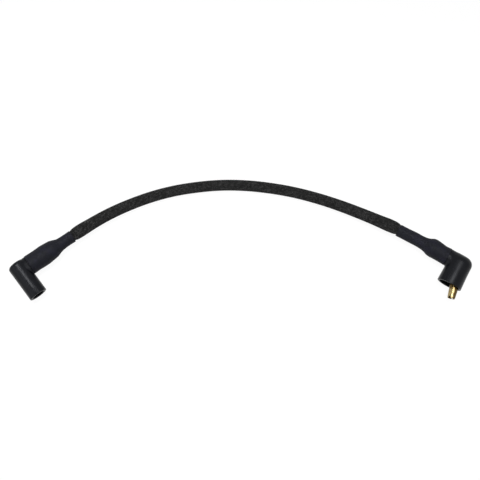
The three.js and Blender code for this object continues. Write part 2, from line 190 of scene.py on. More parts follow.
def length(name, description, millimetres):
    settings = {"min": 0, "precision": 4, "subtype": "DISTANCE", "unit": "LENGTH"}
    return size(name, description, millimetres * MM, **settings)


def turn(name, description, degrees):
    settings = {"subtype": "ANGLE", "unit": "ROTATION"}
    return size(name, description, math.radians(degrees), **settings)


def colour(name, description, *display_values):
    settings = {"size": 3, "min": 0, "max": 1, "subtype": "COLOR"}
    default = display(*display_values)
    return size(name, description, default, bpy.props.FloatVectorProperty, **settings)


def group(kind):
    return bpy.props.PointerProperty(type=kind)


# Sizes of the two ends: a name, what it measures, and how long it is at the left and at the right.
END_SIZES = (
    ("leg_diameter", "Outside of the leg at the elbow", 15.8, 20.4),
    ("mouth_diameter", "Outside of the leg at its mouth", 15.8, 21.4),
    ("leg_length", "From the elbow to the mouth", 25.3, 20.3),
    ("cap_height", "From the elbow to the closed end", 7.8, 7.1),
    ("cap_round", "Radius round the closed end", 2.9, 6.4),
    ("bore_diameter", "Inside of the leg", 11, 17.6),
    ("bore_shoulder", "From the elbow to where the bore widens", 5.5, 7),
    ("stem_diameter", "Outside of the stem", 14.8, 13.6),
    ("stem_length", "From the elbow to the stem's end", 35.5, 30.8),
    ("shrink_start", "From the elbow to the shrink tube", 8.5, 12.8),
    ("shrink_length", "Length of the shrink tube", 43.5, 45.7),
)
ELBOW_ANGLES = (88.5, 92.2)


def end_sizes(end):
    """The properties of one end: 0 for the left one, 1 for the right one."""
    angle = turn("Elbow angle", "Angle between the stem and the leg", ELBOW_ANGLES[end])
    properties = {"elbow_angle": angle}
    for name, description, *lengths in END_SIZES:
        label = name.replace("_", " ").capitalize()
        properties[name] = length(label, description, lengths[end])
    return properties


class LeftEndSizes(bpy.types.PropertyGroup):
    __annotations__ = end_sizes(0)


class RightEndSizes(bpy.types.PropertyGroup):
    __annotations__ = end_sizes(1)


class BraidSizes(bpy.types.PropertyGroup):
    yarns: size("Yarns", "Yarns that run each way", 24, bpy.props.IntProperty, min=6, max=36)
    angle: turn("Braid angle", "Between a yarn and the lead", 40)
    radius: length("Radius", "Outside of the braid along the middle", 4.7)
    thickness: length("Yarn thickness", "Thickness of one yarn", 0.3)
    wave: length("Yarn wave", "How far a yarn rises and dips", 0.18)
    cover: size("Cover", "Share of its space a yarn fills", 0.96, min=0.3, max=1, subtype="FACTOR")


class TerminalSizes(bpy.types.PropertyGroup):
    socket_diameter: length("Socket diameter", "Outside of the rolled socket", 7.8)
    socket_end: length("Socket end", "From the elbow to the socket's mouth", 17)
    groove_at: length("Groove", "From the elbow to the spring's groove", 12)
    spring_wire: length("Spring wire", "Diameter of the spring's wire", 0.8)
    plug_angle: turn("Plug angle", "Angle between the stem and the plug", 104.8)
    neck_diameter: length("Neck diameter", "Outside of the plug's neck", 6)
    bulge_diameter: length("Bulge diameter", "Outside of the plug where it grips", 7.8)
    tip_diameter: length("Tip diameter", "Outside of the plug's tip", 6.5)
    bulge_at: length("Bulge", "From the elbow to the widest place", 20)
    plug_length: length("Plug length", "From the elbow to the plug's tip", 30.5)


class Colours(bpy.types.PropertyGroup):
    rubber: colour("Boot rubber", "Moulded rubber", 6, 7, 11)
    film: colour("Shrink tube", "Heat-shrink film", 24, 25, 31)
    yarn: colour("Braid yarn", "Woven yarn", 32, 32, 32)
    yarn_worn: colour("Rubbed yarn", "Yarn where it is rubbed", 98, 98, 98)
    brass: colour("Brass", "Clean stamped brass", 168, 150, 106)
    # Brass darkened where it has dulled, also used for the painted shade on the plug's sides and the
    # painted shadow in the boot's mouth.
    brass_dull_and_shaded: colour("Dulled brass", "Brass where it has dulled", 84, 66, 32)
    steel: colour("Spring steel", "Drawn wire", 150, 150, 146)
    copper: colour("Tinned copper", "Conductor", 176, 160, 144)
    jacket: colour("Lead jacket", "Insulation under the braid", 30, 30, 32)


class StageSettings(bpy.types.PropertyGroup):
    elevation: turn("Camera elevation", "Above the horizon", 79)
    frame_width: length("Frame width", "Width that the picture takes in at the lead", 403.4)
    lens: size("Lens", "Focal length", 200, min=10, subtype="DISTANCE_CAMERA", unit="CAMERA")


class CoilWireSettings(bpy.types.PropertyGroup):
    left: group(LeftEndSizes)
    right: group(RightEndSizes)
    braid: group(BraidSizes)
    terminals: group(TerminalSizes)
    colours: group(Colours)
    stage: group(StageSettings)


# Shader nodes

# Where a mix of two colours takes them in, and where it gives its own.
MIX_FIRST = 6
MIX_SECOND = 7
MIX_RESULT = 2


class Wire:
    """An output socket of a material, on which arithmetic adds Math nodes."""

    def __init__(self, finish, socket):
        self.finish = finish
        self.socket = socket

    def other(self, name):
        return Wire(self.finish, self.socket.node.outputs[name])

    def maths(self, operation, *values):
        return self.finish.add("ShaderNodeMath", dict(enumerate(values)), {"operation": operation})

    def __add__(self, other):
        return self.maths("ADD", self, other)

    __radd__ = __add__

    def __sub__(self, other):
        return self.maths("SUBTRACT", self, other)

    def __rsub__(self, other):
        return self.maths("SUBTRACT", other, self)

    def __mul__(self, other):
        return self.maths("MULTIPLY", self, other)

    __rmul__ = __mul__

    def band(self, low, high):
        """0 below low, 1 above high and smooth between."""
        inputs = {"Value": self, "From Min": low, "From Max": high}
        return self.finish.add("ShaderNodeMapRange", inputs, {"interpolation_type": "SMOOTHSTEP"})


class Finish:
    """The node tree of a material or world, written node by node."""

    def __init__(self, owner):
        owner.use_nodes = True
        self.owner = owner
        self.tree = owner.node_tree
        self.tree.nodes.clear()

    def add(self, kind, inputs, settings=None, output=0):
        node = self.tree.nodes.new(kind)
        for key, value in (settings or {}).items():
            setattr(node, key, value)
        for key, value in inputs.items():
            if isinstance(value, Wire):
                self.tree.links.new(value.socket, node.inputs[key])
            else:
                node.inputs[key].default_value = value
        return Wire(self, node.outputs[output]) if node.outputs else None

    def place(self):
        return self.add("ShaderNodeTexCoord", {}, output="Object")

    def noise(self, scale, detail, roughness, vector=None, dimensions="3D"):
        inputs = {"Vector": vector or self.place(), "Scale": scale, "Detail": detail}
        inputs["Roughness"] = roughness
        return self.add("ShaderNodeTexNoise", inputs, {"noise_dimensions": dimensions})

    def stretched(self, scale, vector=None):
        inputs = {0: vector or self.place(), 1: scale}
        return self.add("ShaderNodeVectorMath", inputs, {"operation": "MULTIPLY"})

    def measured(self, direction, shift):
        """Distance along a direction, from a plane across it."""
        inputs = {0: self.place(), 1: direction}
        settings = {"operation": "DOT_PRODUCT"}
        return self.add("ShaderNodeVectorMath", inputs, settings, "Value") + shift

    def mix(self, first, second, factor):
        inputs = {"Factor": factor, MIX_FIRST: (*first, 1), MIX_SECOND: (*second, 1)}
        return self.add("ShaderNodeMix", inputs, {"data_type": "RGBA"}, MIX_RESULT)

    def sees_background(self):
        """1 on the rays that show the plain background, and 0 on those that only light."""
        path = self.add("ShaderNodeLightPath", {}, output="Is Camera Ray")
        mirrored = path.maths("MAXIMUM", path, path.other("Is Glossy Ray"))
        return path.maths("MAXIMUM", mirrored, path.other("Is Transmission Ray"))

    def bump(self, height, distance):
        return self.add("ShaderNodeBump", {"Height": height, "Distance": distance})

    def principled(self, inputs):
        shader = self.add("ShaderNodeBsdfPrincipled", inputs)
        self.add("ShaderNodeOutputMaterial", {"Surface": shader})
        return self.owner


def new_finish(name):
    return Finish(bpy.data.materials.new(name))


def rubber_finish(colours):
    """Moulded rubber: satin, with a faint grain, a little bloom and scuffs."""
    finish = new_finish("boot_rubber")
    bloom = finish.noise(90, 4, 0.6).band(0.45, 0.75)
    grain = finish.noise(1600, 3, 0.6)
    scuff = finish.noise(420, 5, 0.7, finish.stretched((1, 0.25, 1))).band(0.58, 0.72)
    base = colours.rubber
    dusty = [channel * 1.9 + 0.002 for channel in base]
    return finish.principled({
        "Base Color": finish.mix(base, dusty, bloom * 0.5 + scuff * 0.3),
        "Roughness": 0.33 + bloom * 0.05 + scuff * 0.06,
        "Specular IOR Level": 0.15,
        "Specular Tint": (0.93, 0.95, 1, 1),
        "Normal": finish.bump(grain, 0.0012 * MM),
    })


def film_finish(colours):
    """Shrink film: bluish black and satin, drawn tight with fine wrinkles."""
    finish = new_finish("shrink_film")
    cloud = finish.noise(160, 4, 0.6)
    peel = finish.noise(1100, 2, 0.5)
    base = colours.film
    pale = [channel * gain for channel, gain in zip(base, (1.55, 1.45, 1.8))]
    return finish.principled({
        "Base Color": finish.mix(base, pale, cloud.band(0.42, 0.72) * 0.7),
        "Roughness": 0.52 + cloud * 0.16,
        "Specular IOR Level": 0.11,
        "Normal": finish.bump(peel + cloud * 1.5, 0.035 * MM),
    })


def yarn_finish(colours):
    """Braid yarn: matte fibres along the yarn, paler where it is rubbed."""
    finish = new_finish("braid_yarn")
    across = finish.add("ShaderNodeUVMap", {}, {"uv_map": "yarn"})
    parts = finish.add("ShaderNodeSeparateXYZ", {"Vector": across})
    fibre = finish.noise(1, 3, 0.5, finish.stretched((7, 0.8, 1), across), "2D")
    rubbed = finish.noise(70, 3, 0.6).band(0.5, 0.8)
    mottle = finish.noise(640, 2, 0.6).band(0.42, 0.66)
    crown = parts.maths("SINE", parts * math.pi)
    worn = fibre.band(0.35, 0.7) * (0.12 + rubbed * 0.25 + mottle * 0.75) * crown
    return finish.principled({
        "Base Color": finish.mix(colours.yarn, colours.yarn_worn, worn),
        "Roughness": 0.78 + fibre * 0.12,
        "Specular IOR Level": 0.1,
        "Normal": finish.bump(fibre, 0.05 * MM),
    })


def brass_finish(colours):
    """Stamped brass: drawn lines along the sheet and dull patches; painted shade on the plug's
    sides, painted shadow in the boot's mouth.
    """
    finish = new_finish("terminal_brass")
    dull = finish.noise(260, 5, 0.65).band(0.42, 0.68)
    lines = finish.noise(900, 3, 0.6, finish.stretched((1, 0.12, 1)))
    across = finish.measured(*ACROSS_PLUG)
    depth = finish.measured(*OUT_OF_PLUG)
    # Painted shade: the plug's sides are darkened by their distance across it, strongly on one side
    # and faintly on the other.
    painted_flank_shade = across.band(0.2 * MM, 1.9 * MM) + (0 - across).band(0.6 * MM, 3.2 * MM) * 0.3
    # Painted shadow: the plug is darkened where it sits inside the boot's mouth.
    painted_mouth_shadow = 1 - depth.band(-9 * MM, -6.5 * MM)
    # Real dull patches mixed with the painted shade and the painted shadow above.
    dulling_and_painted_shade = (dull * 0.22 + painted_flank_shade * 0.85 + painted_mouth_shadow * 0.7).band(0, 1)
    return finish.principled({
        "Base Color": finish.mix(colours.brass, colours.brass_dull_and_shaded, dulling_and_painted_shade),
        "Metallic": 1.0,
        "Roughness": 0.24 + dull * 0.14 + lines * 0.08,
        "Coat Weight": 0.08,
        "Coat Roughness": 0.2,
        "Normal": finish.bump(lines, 0.015 * MM),
    })


def metal_finish(name, base, roughness):
    """Drawn wire with fine marks."""
    finish = new_finish(name)
    marks = finish.noise(2400, 3, 0.6)
    return finish.principled({
        "Base Color": finish.mix([channel * 0.7 for channel in base], base, marks),
        "Metallic": 1.0,
        "Roughness": roughness + marks * 0.12,
    })


def jacket_finish(colours):
    """The jacket under the braid, pressed by its yarns."""
    finish = new_finish("lead_jacket")
    press = finish.noise(900, 2, 0.5)
    base = colours.jacket
    return finish.principled({
        "Base Color": finish.mix(base, [channel * 1.4 for channel in base], press),
        "Roughness": 0.65 + press * 0.15,
        "Normal": finish.bump(press, 0.05 * MM),
    })


# Meshes


def make_piece(name, points, faces, material, node, uv=None):
    """A smooth-shaded piece of the object that rides on its body."""
    mesh = bpy.data.meshes.new(name)
    faces = np.asarray(faces, dtype=np.int32)
    corners = faces.shape[1]
    mesh.vertices.add(len(points))
    mesh.vertices.foreach_set("co", np.asarray(points, dtype=np.float32).ravel())
    mesh.loops.add(faces.size)
    mesh.loops.foreach_set("vertex_index", faces.ravel())
    mesh.polygons.add(len(faces))
    mesh.polygons.foreach_set("loop_start", np.arange(0, faces.size, corners, dtype=np.int32))
    mesh.polygons.foreach_set("use_smooth", np.ones(len(faces), dtype=bool))
    if uv is not None:
        layer = mesh.uv_layers.new(name="yarn")
        layer.data.foreach_set("uv", np.asarray(uv, dtype=np.float32).ravel())
    mesh.update(calc_edges=True)
    mesh.validate()
    mesh.materials.append(material)
    piece = bpy.data.objects.new(name, mesh)
    bpy.context.scene.collection.objects.link(piece)
    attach(piece, "root")
    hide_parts(node)
    return piece


class Lead:
    """The lead's centre line as a smooth curve, read by distance from the left elbow."""

    samples = 80

    def __init__(self, points):
        points = np.array(points)
        ends = [2 * points[0] - points[1], 2 * points[-1] - points[-2]]
        knots = np.vstack([ends[0], points, ends[1]])
        line = [
            self.span(knots[i : i + 4], np.linspace(0, 1, self.samples, endpoint=False))
            for i in range(len(points) - 1)
        ]
        self.line = np.vstack([*line, points[-1:]])
        steps = np.linalg.norm(np.diff(self.line, axis=0), axis=1)
        self.along = np.concatenate([[0], np.cumsum(steps)])
        self.length = self.along[-1]

    @staticmethod
    def span(knots, t):
        """A centripetal stretch between the two middle knots."""
        gaps = np.sqrt(np.linalg.norm(np.diff(knots, axis=0), axis=1))
        start, gap, end = gaps
        first, near, far, last = knots
        slope_near = (near - first) / start - (far - first) / (start + gap) + (far - near) / gap
        slope_far = (far - near) / gap - (last - near) / (gap + end) + (last - far) / end
        slope_near, slope_far = slope_near * gap, slope_far * gap
        t = t[:, None]
        return (
            near
            + slope_near * t
            + (3 * (far - near) - 2 * slope_near - slope_far) * t**2
            + (2 * (near - far) + slope_near + slope_far) * t**3
        )

    def at(self, distance):
        return np.stack([np.interp(distance, self.along, self.line[:, i]) for i in range(3)], -1)

    def axes(self, distance):
        """Points, tangents, and the level and upward directions across the lead."""
        reach = 1 * MM
        tangent = unit(self.at(distance + reach) - self.at(distance - reach))
        level = unit(np.cross(tangent, [0, 0, 1]))
        return self.at(distance), tangent, level, np.cross(level, tangent)


def end_axes(elbow, toward, leg_side):
    """An end's own frame: X along the stem to the lead, Y on the leg's side."""
    along = Vector(toward) - Vector(elbow)
    along.z = 0
    along.normalize()
    across = Vector((-along.y, along.x, 0)) * leg_side
    axes = Matrix((along, across, along.cross(across))).transposed()
    return np.array(axes), np.array(elbow)


def placed(points, axes):
    """Points of an end's own frame, in the part's axes."""
    turned, origin = axes
    return points @ turned.T + origin


def unit(vectors):
    """Vectors brought to length 1."""
    return vectors / np.maximum(np.linalg.norm(vectors, axis=-1, keepdims=True), 1e-12)


def round_union(a, b, radius):
    inner = np.hypot(np.maximum(radius - a, 0), np.maximum(radius - b, 0))
    return np.maximum(radius, np.minimum(a, b)) - inner


def round_cut(a, b, radius):
    """The space inside both a and b, with the edge between them rounded."""
    outer = np.hypot(np.maximum(radius + a, 0), np.maximum(radius + b, 0))
    return np.minimum(-radius, np.maximum(a, b)) + outer


# The corners of a cell, as steps along the axes.
CORNERS = np.array([(i >> 2 & 1, i >> 1 & 1, i & 1) for i in range(8)])


def crossings(corners):
    """Where the surface crosses the edges of each cell, averaged."""
    total = np.zeros(corners[0].shape + (3,))
    count = np.zeros(corners[0].shape)
    for i in range(8):
        for axis in range(3):
            j = i | 4 >> axis
            if i == j:
                continue
            first, second = corners[i], corners[j]
            crossed = (first < 0) != (second < 0)
            share = np.where(crossed, first / np.where(crossed, first - second, 1), 0)
            point = CORNERS[i] + share[..., None] * (CORNERS[j] - CORNERS[i])
            total += np.where(crossed[..., None], point, 0)
            count += crossed
    return total / np.maximum(count, 1)[..., None]


def skin(field, low, high, step):
    """The surface where a field of points is zero: its points, four-sided faces and normals."""
    low, high = np.array(low), np.array(high)
    counts = np.ceil((high - low) / step).astype(int) + 1
    axes = [low[i] + step * np.arange(counts[i]) for i in range(3)]
    grid = np.stack(np.meshgrid(*axes, indexing="ij"), -1)
    values = field(grid.reshape(-1, 3)).reshape(counts)
    inside = values < 0
    corners = [
        tuple(slice(start, start + count - 1) for start, count in zip(corner, counts))
        for corner in CORNERS
    ]
    filled = sum(inside[corner].astype(np.int8) for corner in corners)
    mixed = np.nonzero((filled > 0) & (filled < 8))
    index = np.full(filled.shape, -1, dtype=np.int32)
    index[mixed] = np.arange(len(mixed[0]))
    local = crossings([values[corner][mixed] for corner in corners])
    points = low + step * (np.stack(mixed, -1) + local)
    faces = []
    for axis in range(3):
        flags = np.moveaxis(inside, axis, 0)
        cells = np.moveaxis(index, axis, 0)
        here, there = flags[:-1, 1:-1, 1:-1], flags[1:, 1:-1, 1:-1]
        around = [cells[:, :-1, :-1], cells[:, 1:, :-1], cells[:, 1:, 1:], cells[:, :-1, 1:]]
        outward = (axis != 1) == np.array([True, False])
        for leaving, flip in zip((here & ~there, ~here & there), outward):
            quad = np.stack([cell[leaving] for cell in around], -1)
            faces.append(quad if flip else quad[:, ::-1])
    points = settle(points, field, step)
    return points, np.vstack(faces), slopes(points, field, 0.1 * step)


def slopes(points, field, reach):
    """How the field grows at each point, which is straight out of the surface."""
    steps = reach * np.eye(3)
    rises = [field(points + step) - field(points - step) for step in steps]
    return np.stack(rises, -1) / (2 * reach)


def settle(points, field, step):
    """Moves points the last little way onto the surface."""
    for _ in range(4):
        slope = slopes(points, field, 0.02 * step)
        size = np.maximum((slope**2).sum(-1), 0.25)
        move = -(field(points) / size)[:, None] * slope
        far = np.linalg.norm(move, axis=-1, keepdims=True)
        points = points + move * np.minimum(1, 0.5 * step / np.maximum(far, 1e-12))
    return points


def round_axis(points, angle):
    """Distances along and out from an axis in the XY plane of an end's frame."""
    axis = np.array([math.cos(angle), math.sin(angle), 0])
    along = points @ axis
    return along, np.sqrt(np.maximum((points**2).sum(-1) - along**2, 0))


def stem_outline(end, collar, film):
    """A stem's outline: its bare collar, then its beaded end, held in by the shrink tube."""
    radius = end.stem_diameter / 2
    taper = end.stem_length - TAPER_LENGTH
    bead = radius + BEAD_HEIGHT
    along, out = [list(column) for column in np.array(collar).T * MM]
    along += [along[-1] + COLLAR_STEP, taper - BEAD_RISES, taper - BEAD_FULL, taper]
    out += [radius, radius, bead, bead]
    at = np.linspace(0, end.stem_length, 120)
    bare = np.interp(at, [*along, end.stem_length], [*out, WIRE_BORE_RADIUS + END_WALL])
    for line in film:
        held_at, held = np.array(line).T * MM
        bare = np.minimum(bare, np.interp(at, held_at, held, left=1) - FILM_WALL - FILM_GAP)
    return at, bare


def boot_field(end, up, crest_fall, collars, film, fillet):
    """A moulded elbow: capped leg and stem with a filleted join, hollowed for its terminal."""
    bore_radius = end.bore_diameter / 2
    over_top, at_side = [stem_outline(end, collar, film) for collar in collars]
    leg_line = (
        [end.stem_diameter / 2, end.leg_length], [end.leg_diameter / 2, end.mouth_diameter / 2]
    )
    rib_at = end.leg_length - RIB_SETBACK
    bore_line = (
        [end.bore_shoulder, end.bore_shoulder + bore_radius - CHAMBER_RADIUS,
         rib_at - RIB_HALF, rib_at, rib_at + RIB_HALF,
         end.leg_length - RIM_ROUND, end.leg_length + RIM_ROUND],
        [CHAMBER_RADIUS, bore_radius, bore_radius, bore_radius - RIB_HEIGHT, bore_radius,
         bore_radius, bore_radius + BORE_FLARE],
    )
    fall_from, fall_way, fall_rate = crest_fall
    crimp_end = CRIMP_TO + CRIMP_CLEARANCE
    wire_line = (
        [crimp_end, crimp_end + CHAMBER_RADIUS - WIRE_BORE_RADIUS],
        [CHAMBER_RADIUS, WIRE_BORE_RADIUS],
    )

    def field(points):
        along, out = round_axis(points, end.elbow_angle)
        x, out_stem = round_axis(points, 0)
        facing_up = np.clip(up * points[:, 2] / np.maximum(out, MM), 0, 1) ** 2
        past = np.clip(fall_way * (along / MM - fall_from), 0, None)
        wide = np.interp(along, *leg_line) - facing_up * fall_rate * past**2 * MM
        leg = round_cut(out - wide, -end.cap_height - along, end.cap_round)
        leg = round_cut(leg, along - end.leg_length, RIM_ROUND)
        sideways = (points[:, 1] / np.maximum(out_stem, MM)) ** 2
        top = np.interp(x, *over_top)
        stem_radius = top + sideways * (np.interp(x, *at_side) - top)
        from_elbow = np.hypot(out_stem, np.minimum(x, 0))
        stem = np.maximum(from_elbow - stem_radius, x - end.stem_length)
        parting = PARTING_HEIGHT * np.exp(-((points[:, 2] / PARTING_HALF) ** 2))
        outside = round_union(leg, stem, fillet) - parting
        bore = np.maximum(out - np.interp(along, *bore_line), -CHAMBER_RADIUS - along)
        wire = np.maximum(out_stem - np.interp(x, *wire_line), -x)
        return round_cut(outside, -np.minimum(bore, wire), BORE_EDGE)

    return field


def strip_distance(points, path):
    """Distance in the XY plane to a line of points."""
    best = np.full(len(points), np.inf)
    for start, end in zip(path[:-1], path[1:]):
        way = end - start
        share = np.clip((points[:, :2] - start) @ way / (way @ way), 0, 1)
        gap = points[:, :2] - start - share[:, None] * way
        best = np.minimum(best, np.hypot(gap[:, 0], gap[:, 1]))
    return best


def bent_path(start, corner, end, radius):
    """A line with one rounded corner."""
    before, after = unit(corner - start), unit(end - corner)
    setback = radius * math.tan(math.acos(np.clip(before @ after, -1, 1)) / 2)
    first, last = corner - before * setback, corner + after * setback
    share = np.linspace(0, 1, 11)[:, None]
    bend = (1 - share) ** 2 * first + 2 * share * (1 - share) * corner + share**2 * last
    return np.vstack([start, bend, end])


class ContactSlits:
    """Slits in a rolled contact, each a slab that stands out of its axis."""

    def __init__(self, angle):
        self.side = np.array([math.sin(angle), -math.cos(angle), 0])
        self.cuts = []

    def cut(self, degrees, width, start):
        heading = math.radians(degrees)
        up = np.array([0, 0, 1])
        out = math.cos(heading) * self.side + math.sin(heading) * up
        across = -math.sin(heading) * self.side + math.cos(heading) * up
        self.cuts.append((out, across, width, start))
        return out, across

    def apply(self, body, points, along):
        for out, across, width, start in self.cuts:
            slab = np.maximum(np.abs(points @ across) - width / 2, -(points @ out))
            body = round_cut(body, -np.maximum(slab, start - along), SLIT_EDGE)
        return body


# The strap that joins a terminal's crimp to its contact, and half the angle that the crimp's
# wings leave open.
STRAP_LAP = 1 * MM
STRAP_BEND = 3 * MM
STRAP_HALF = 2.2 * MM
STRAP_FILLET = 0.2 * MM
WING_GAP = math.radians(20)


def terminal_field(angle, contact_line, slits, corner_clip=None):
    """A stamped terminal: crimp, strap round the elbow's back, and the rolled contact."""
    crimp_middle = WIRE_BORE_RADIUS + SHEET / 2
    neck = contact_line[1][0] - SHEET / 2
    leg = np.array([math.cos(angle), math.sin(angle)])
    back = np.array([-leg[1], leg[0]])
    down = (-crimp_middle - neck * back[1]) / leg[1]
    path = bent_path(
        np.array([CRIMP_FROM + STRAP_LAP, -crimp_middle]),
        leg * down + back * neck,
        leg * (CONTACT_FROM + STRAP_LAP) + back * neck,
        STRAP_BEND,
    )
    start, end = contact_line[0][0], contact_line[0][-1]

    def field(points):
        along, out = round_axis(points, angle)
        x, out_stem = round_axis(points, 0)
        middle = np.interp(along, *contact_line) - SHEET / 2
        contact = np.abs(out - middle) - SHEET / 2
        contact = round_cut(contact, np.maximum(along - end, start - along), SHEET_EDGE)
        crimp = np.abs(out_stem - crimp_middle) - SHEET / 2
        crimp = round_cut(crimp, np.maximum(x - CRIMP_TO, CRIMP_FROM - x), SHEET_EDGE)
        wings = points[:, 1] * math.sin(WING_GAP) - np.abs(points[:, 2]) * math.cos(WING_GAP)
        crimp = round_cut(crimp, wings, SHEET_EDGE)
        strap = strip_distance(points, path) - SHEET / 2
        strap = round_cut(strap, np.abs(points[:, 2]) - STRAP_HALF, SHEET_EDGE)
        body = round_union(np.minimum(contact, crimp), strap, STRAP_FILLET)
        body = slits.apply(body, points, along)
        if corner_clip:
            body = np.maximum(body, -corner_clip(points, along))
        return body

    return field


def socket_field(sizes, angle):
    """The left contact: a socket with a spring groove, a flared mouth and slits."""
    radius = sizes.socket_diameter / 2
    groove = sizes.groove_at
    deep, half = 0.5 * MM, 0.8 * MM
    flare, flare_length = 0.4 * MM, 0.8 * MM
    line = (
        [CONTACT_FROM, groove - half - deep, groove - half, groove + half, groove + half + deep,
         sizes.socket_end - flare_length, sizes.socket_end],
        [radius, radius, radius - deep, radius - deep, radius, radius, radius + flare],
    )
    slits = ContactSlits(angle)
    slits.cut(0, SLIT, 0)
    for degrees in (90, -90):
        slits.cut(degrees, SLIT, groove + 2 * half)
    return terminal_field(angle, line, slits)


def smoothed(line):
    """A line of values with its kinks rounded."""
    window = np.hanning(9)
    padded = np.pad(line, len(window) // 2, mode="edge")
    return np.convolve(padded, window / window.sum(), mode="valid")


def plug_field(sizes):
    """The right contact: a split plug that bulges where it grips."""
    angle = sizes.plug_angle
    neck, bulge = sizes.neck_diameter / 2, sizes.bulge_diameter / 2
    tip = sizes.tip_diameter / 2
    end, wide = sizes.plug_length, sizes.bulge_at
    rise = (wide - CONTACT_FROM) / 3
    stations = np.linspace(CONTACT_FROM, end, 80)
    coarse = (
        [CONTACT_FROM, wide - 2 * rise, wide - rise, wide, wide + 0.6 * (end - wide),
         end - 0.5 * MM, end],
        [neck, neck, neck + 0.8 * (bulge - neck), bulge, bulge + 0.6 * (tip - bulge),
         tip, tip - 0.25 * MM],
    )
    line = (stations, smoothed(np.interp(stations, *coarse)))
    slits = ContactSlits(angle)
    seam_out, seam_across = slits.cut(70, 0.6 * MM, 0)
    slits.cut(250, SLIT, end - 13 * MM)
    clip = 1.8 * MM

    def corner_clip(points, along):
        a = along - (end + clip / 2)
        b = points @ seam_across + clip / 2
        return np.maximum((np.abs(a) + np.abs(b)) / math.sqrt(2) - clip, -(points @ seam_out))

    return terminal_field(angle, line, slits, corner_clip)


def carved_piece(name, field, axes, low, high, step, material, node):
    """A piece cut out of space by a field in an end's frame."""
    points, faces, outward = skin(field, low, high, step)
    piece = make_piece(name, placed(points, axes), faces, material, node)
    piece.data.normals_split_custom_set_from_vertices(unit(outward) @ axes[0].T)


def tube_faces(rings, around, closed):
    """Faces between rings of points, and between the last ring and the first if closed."""
    ring = np.arange(rings if closed else rings - 1)[:, None]
    side = np.arange(around)[None, :]
    after, beside = (ring + 1) % rings, (side + 1) % around
    near, far = ring * around, after * around
    return np.stack([far + side, far + beside, near + beside, near + side], -1).reshape(-1, 4)


# How far the braid swells where a shrink tube holds it, by distance out of the tube.
SWELL_AT = np.array([-4, -0.5, 0.8, 2.5, 5, 9, 13, 16, 21, 30, 44, 65, 95]) * MM
SWELL = np.array([-0.45, -0.45, 0.0, 0.55, 0.8, 0.9, 0.78, 0.64, 0.5, 0.38, 0.26, 0.1, 0]) * MM

# The underside of the braid is pressed flat below this height, by this factor.
PRESSED = 0.4 * MM
PRESS = 0.5

# How far each yarn's fibres are shifted against the yarn before it.
FIBRE_SHIFT = 40


def braid_yarns(lead, braid, ends, start, end, hand):
    """All yarns that run one way round, as points, faces and a map along each yarn."""
    crossing = math.pi / braid.yarns * (braid.radius - braid.thickness) / math.tan(braid.angle)
    stations = int((end - start) / crossing * 2)
    at = np.linspace(start, end, stations)
    centre, tangent, level, up = lead.axes(at)
    turned = np.arange(stations) * math.pi / braid.yarns / 2
    left, right = ends
    from_left = at - left.shrink_start - left.shrink_length
    from_right = lead.length - at - right.shrink_start - right.shrink_length
    swell = np.interp(np.minimum(from_left, from_right), SWELL_AT, SWELL)
    middle = braid.radius + swell - braid.thickness / 2 - braid.wave
    lift = hand * braid.wave * np.cos(braid.yarns * turned)
    spacing = 2 * math.pi * middle / braid.yarns
    half = braid.cover * spacing * math.cos(braid.angle) / 2
    section = np.array([[-1, 0], [0, 0.5], [1, 0], [0, -0.5]])
    quads = tube_faces(stations, 4, closed=False)
    points, faces, maps = [], [], []
    lean = math.cos(braid.angle)
    for yarn in range(braid.yarns):
        angle = hand * turned + 2 * math.pi * yarn / braid.yarns
        out = np.cos(angle)[:, None] * level + np.sin(angle)[:, None] * up
        side = -np.sin(angle)[:, None] * level + np.cos(angle)[:, None] * up
        across = side * lean - hand * tangent * math.sin(braid.angle)
        heart = centre + out * (middle + lift)[:, None]
        ring = np.stack(
            [
                heart
                + across * (half * wide)[:, None]
                + out * (braid.thickness * tall - half**2 / (2 * middle) * wide**2)[:, None]
                for wide, tall in section
            ],
            1,
        )
        height = ring[..., 2]
        ring[..., 2] = np.where(height < PRESSED, PRESSED - (PRESSED - height) * PRESS, height)
        faces.append(quads + len(points) * stations * 4)
        points.append(ring.reshape(-1, 3))
        along = np.repeat(at / MM, 4) + FIBRE_SHIFT * yarn
        wide = np.tile([0.0, 0.5, 1.0, 0.5], stations)
        maps.append(np.stack([wide, along], -1)[quads].reshape(-1, 2))
    return np.vstack(points), np.vstack(faces), np.vstack(maps)


# A shrink tube's surface: its soft lumps, the braid that shows through on its neck past the stem,
# and its lips, which thin by a share of the wall.
RIPPLE = 0.16 * MM
NECK_SETBACK = 4 * MM
NECK_BLEND = 3 * MM
WEAVE_HEIGHT = 0.04 * MM
WEAVE_PITCH = 0.7 * MM
LIP = 0.4 * MM
LIP_THINNING = 0.4


def ripple(rng, waves, size):
    """Soft uneven lumps over a tube, as a function of distance and angle."""
    turns = rng.integers(1, 5, waves)
    rates = rng.uniform(60, 420, waves)
    phases = rng.uniform(0, 2 * math.pi, (waves, 2))
    sizes = size * rng.uniform(0.4, 1, waves) / math.sqrt(waves)

    def height(distance, angle):
        return sum(
            sizes[i]
            * np.sin(rates[i] * distance + phases[i, 0])
            * np.sin(turns[i] * angle + phases[i, 1])
            for i in range(waves)
        )

    return height


